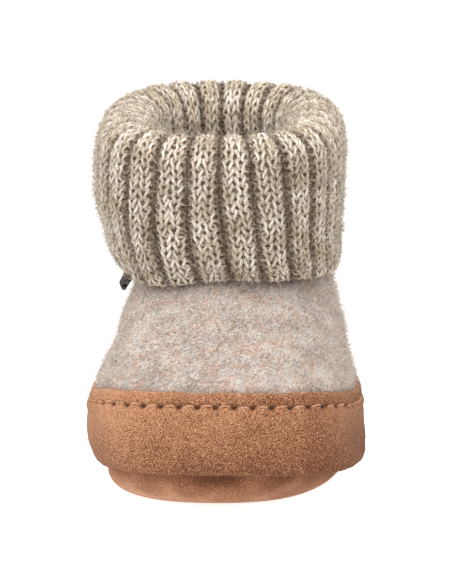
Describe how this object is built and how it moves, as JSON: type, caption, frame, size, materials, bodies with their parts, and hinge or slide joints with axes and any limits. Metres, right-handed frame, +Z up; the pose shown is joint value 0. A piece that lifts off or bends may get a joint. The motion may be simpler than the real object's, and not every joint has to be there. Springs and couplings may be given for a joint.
{
  "type": "wool slipper boot",
  "caption": "Child's felted wool slipper boot for the left foot, with a rounded suede sole, a stitched suede band and a turned-down ribbed knit cuff.",
  "frame": {"origin": "on the floor, under the middle of the slipper's length and width", "axes": "+Z up, +Y from toe to heel, +X to the outer side of the left foot"},
  "size_m": [0.081, 0.144, 0.1025],
  "materials": {
    "suede_sole": "brushed suede, smooth nap",
    "felt_insole": "matte felt",
    "felted_wool": "matte heather felt",
    "tan_suede": "grained nap",
    "ragg_wool_knit": "marled ribbed knit",
    "black_ribbon": "woven ribbon"
  },
  "bodies": {
    "root": {"outsole": "suede_sole", "insole": "felt_insole", "upper": "felted_wool", "suede_band": "tan_suede", "cuff": "ragg_wool_knit", "side_tab": "black_ribbon"}
  },
  "joints": []
}
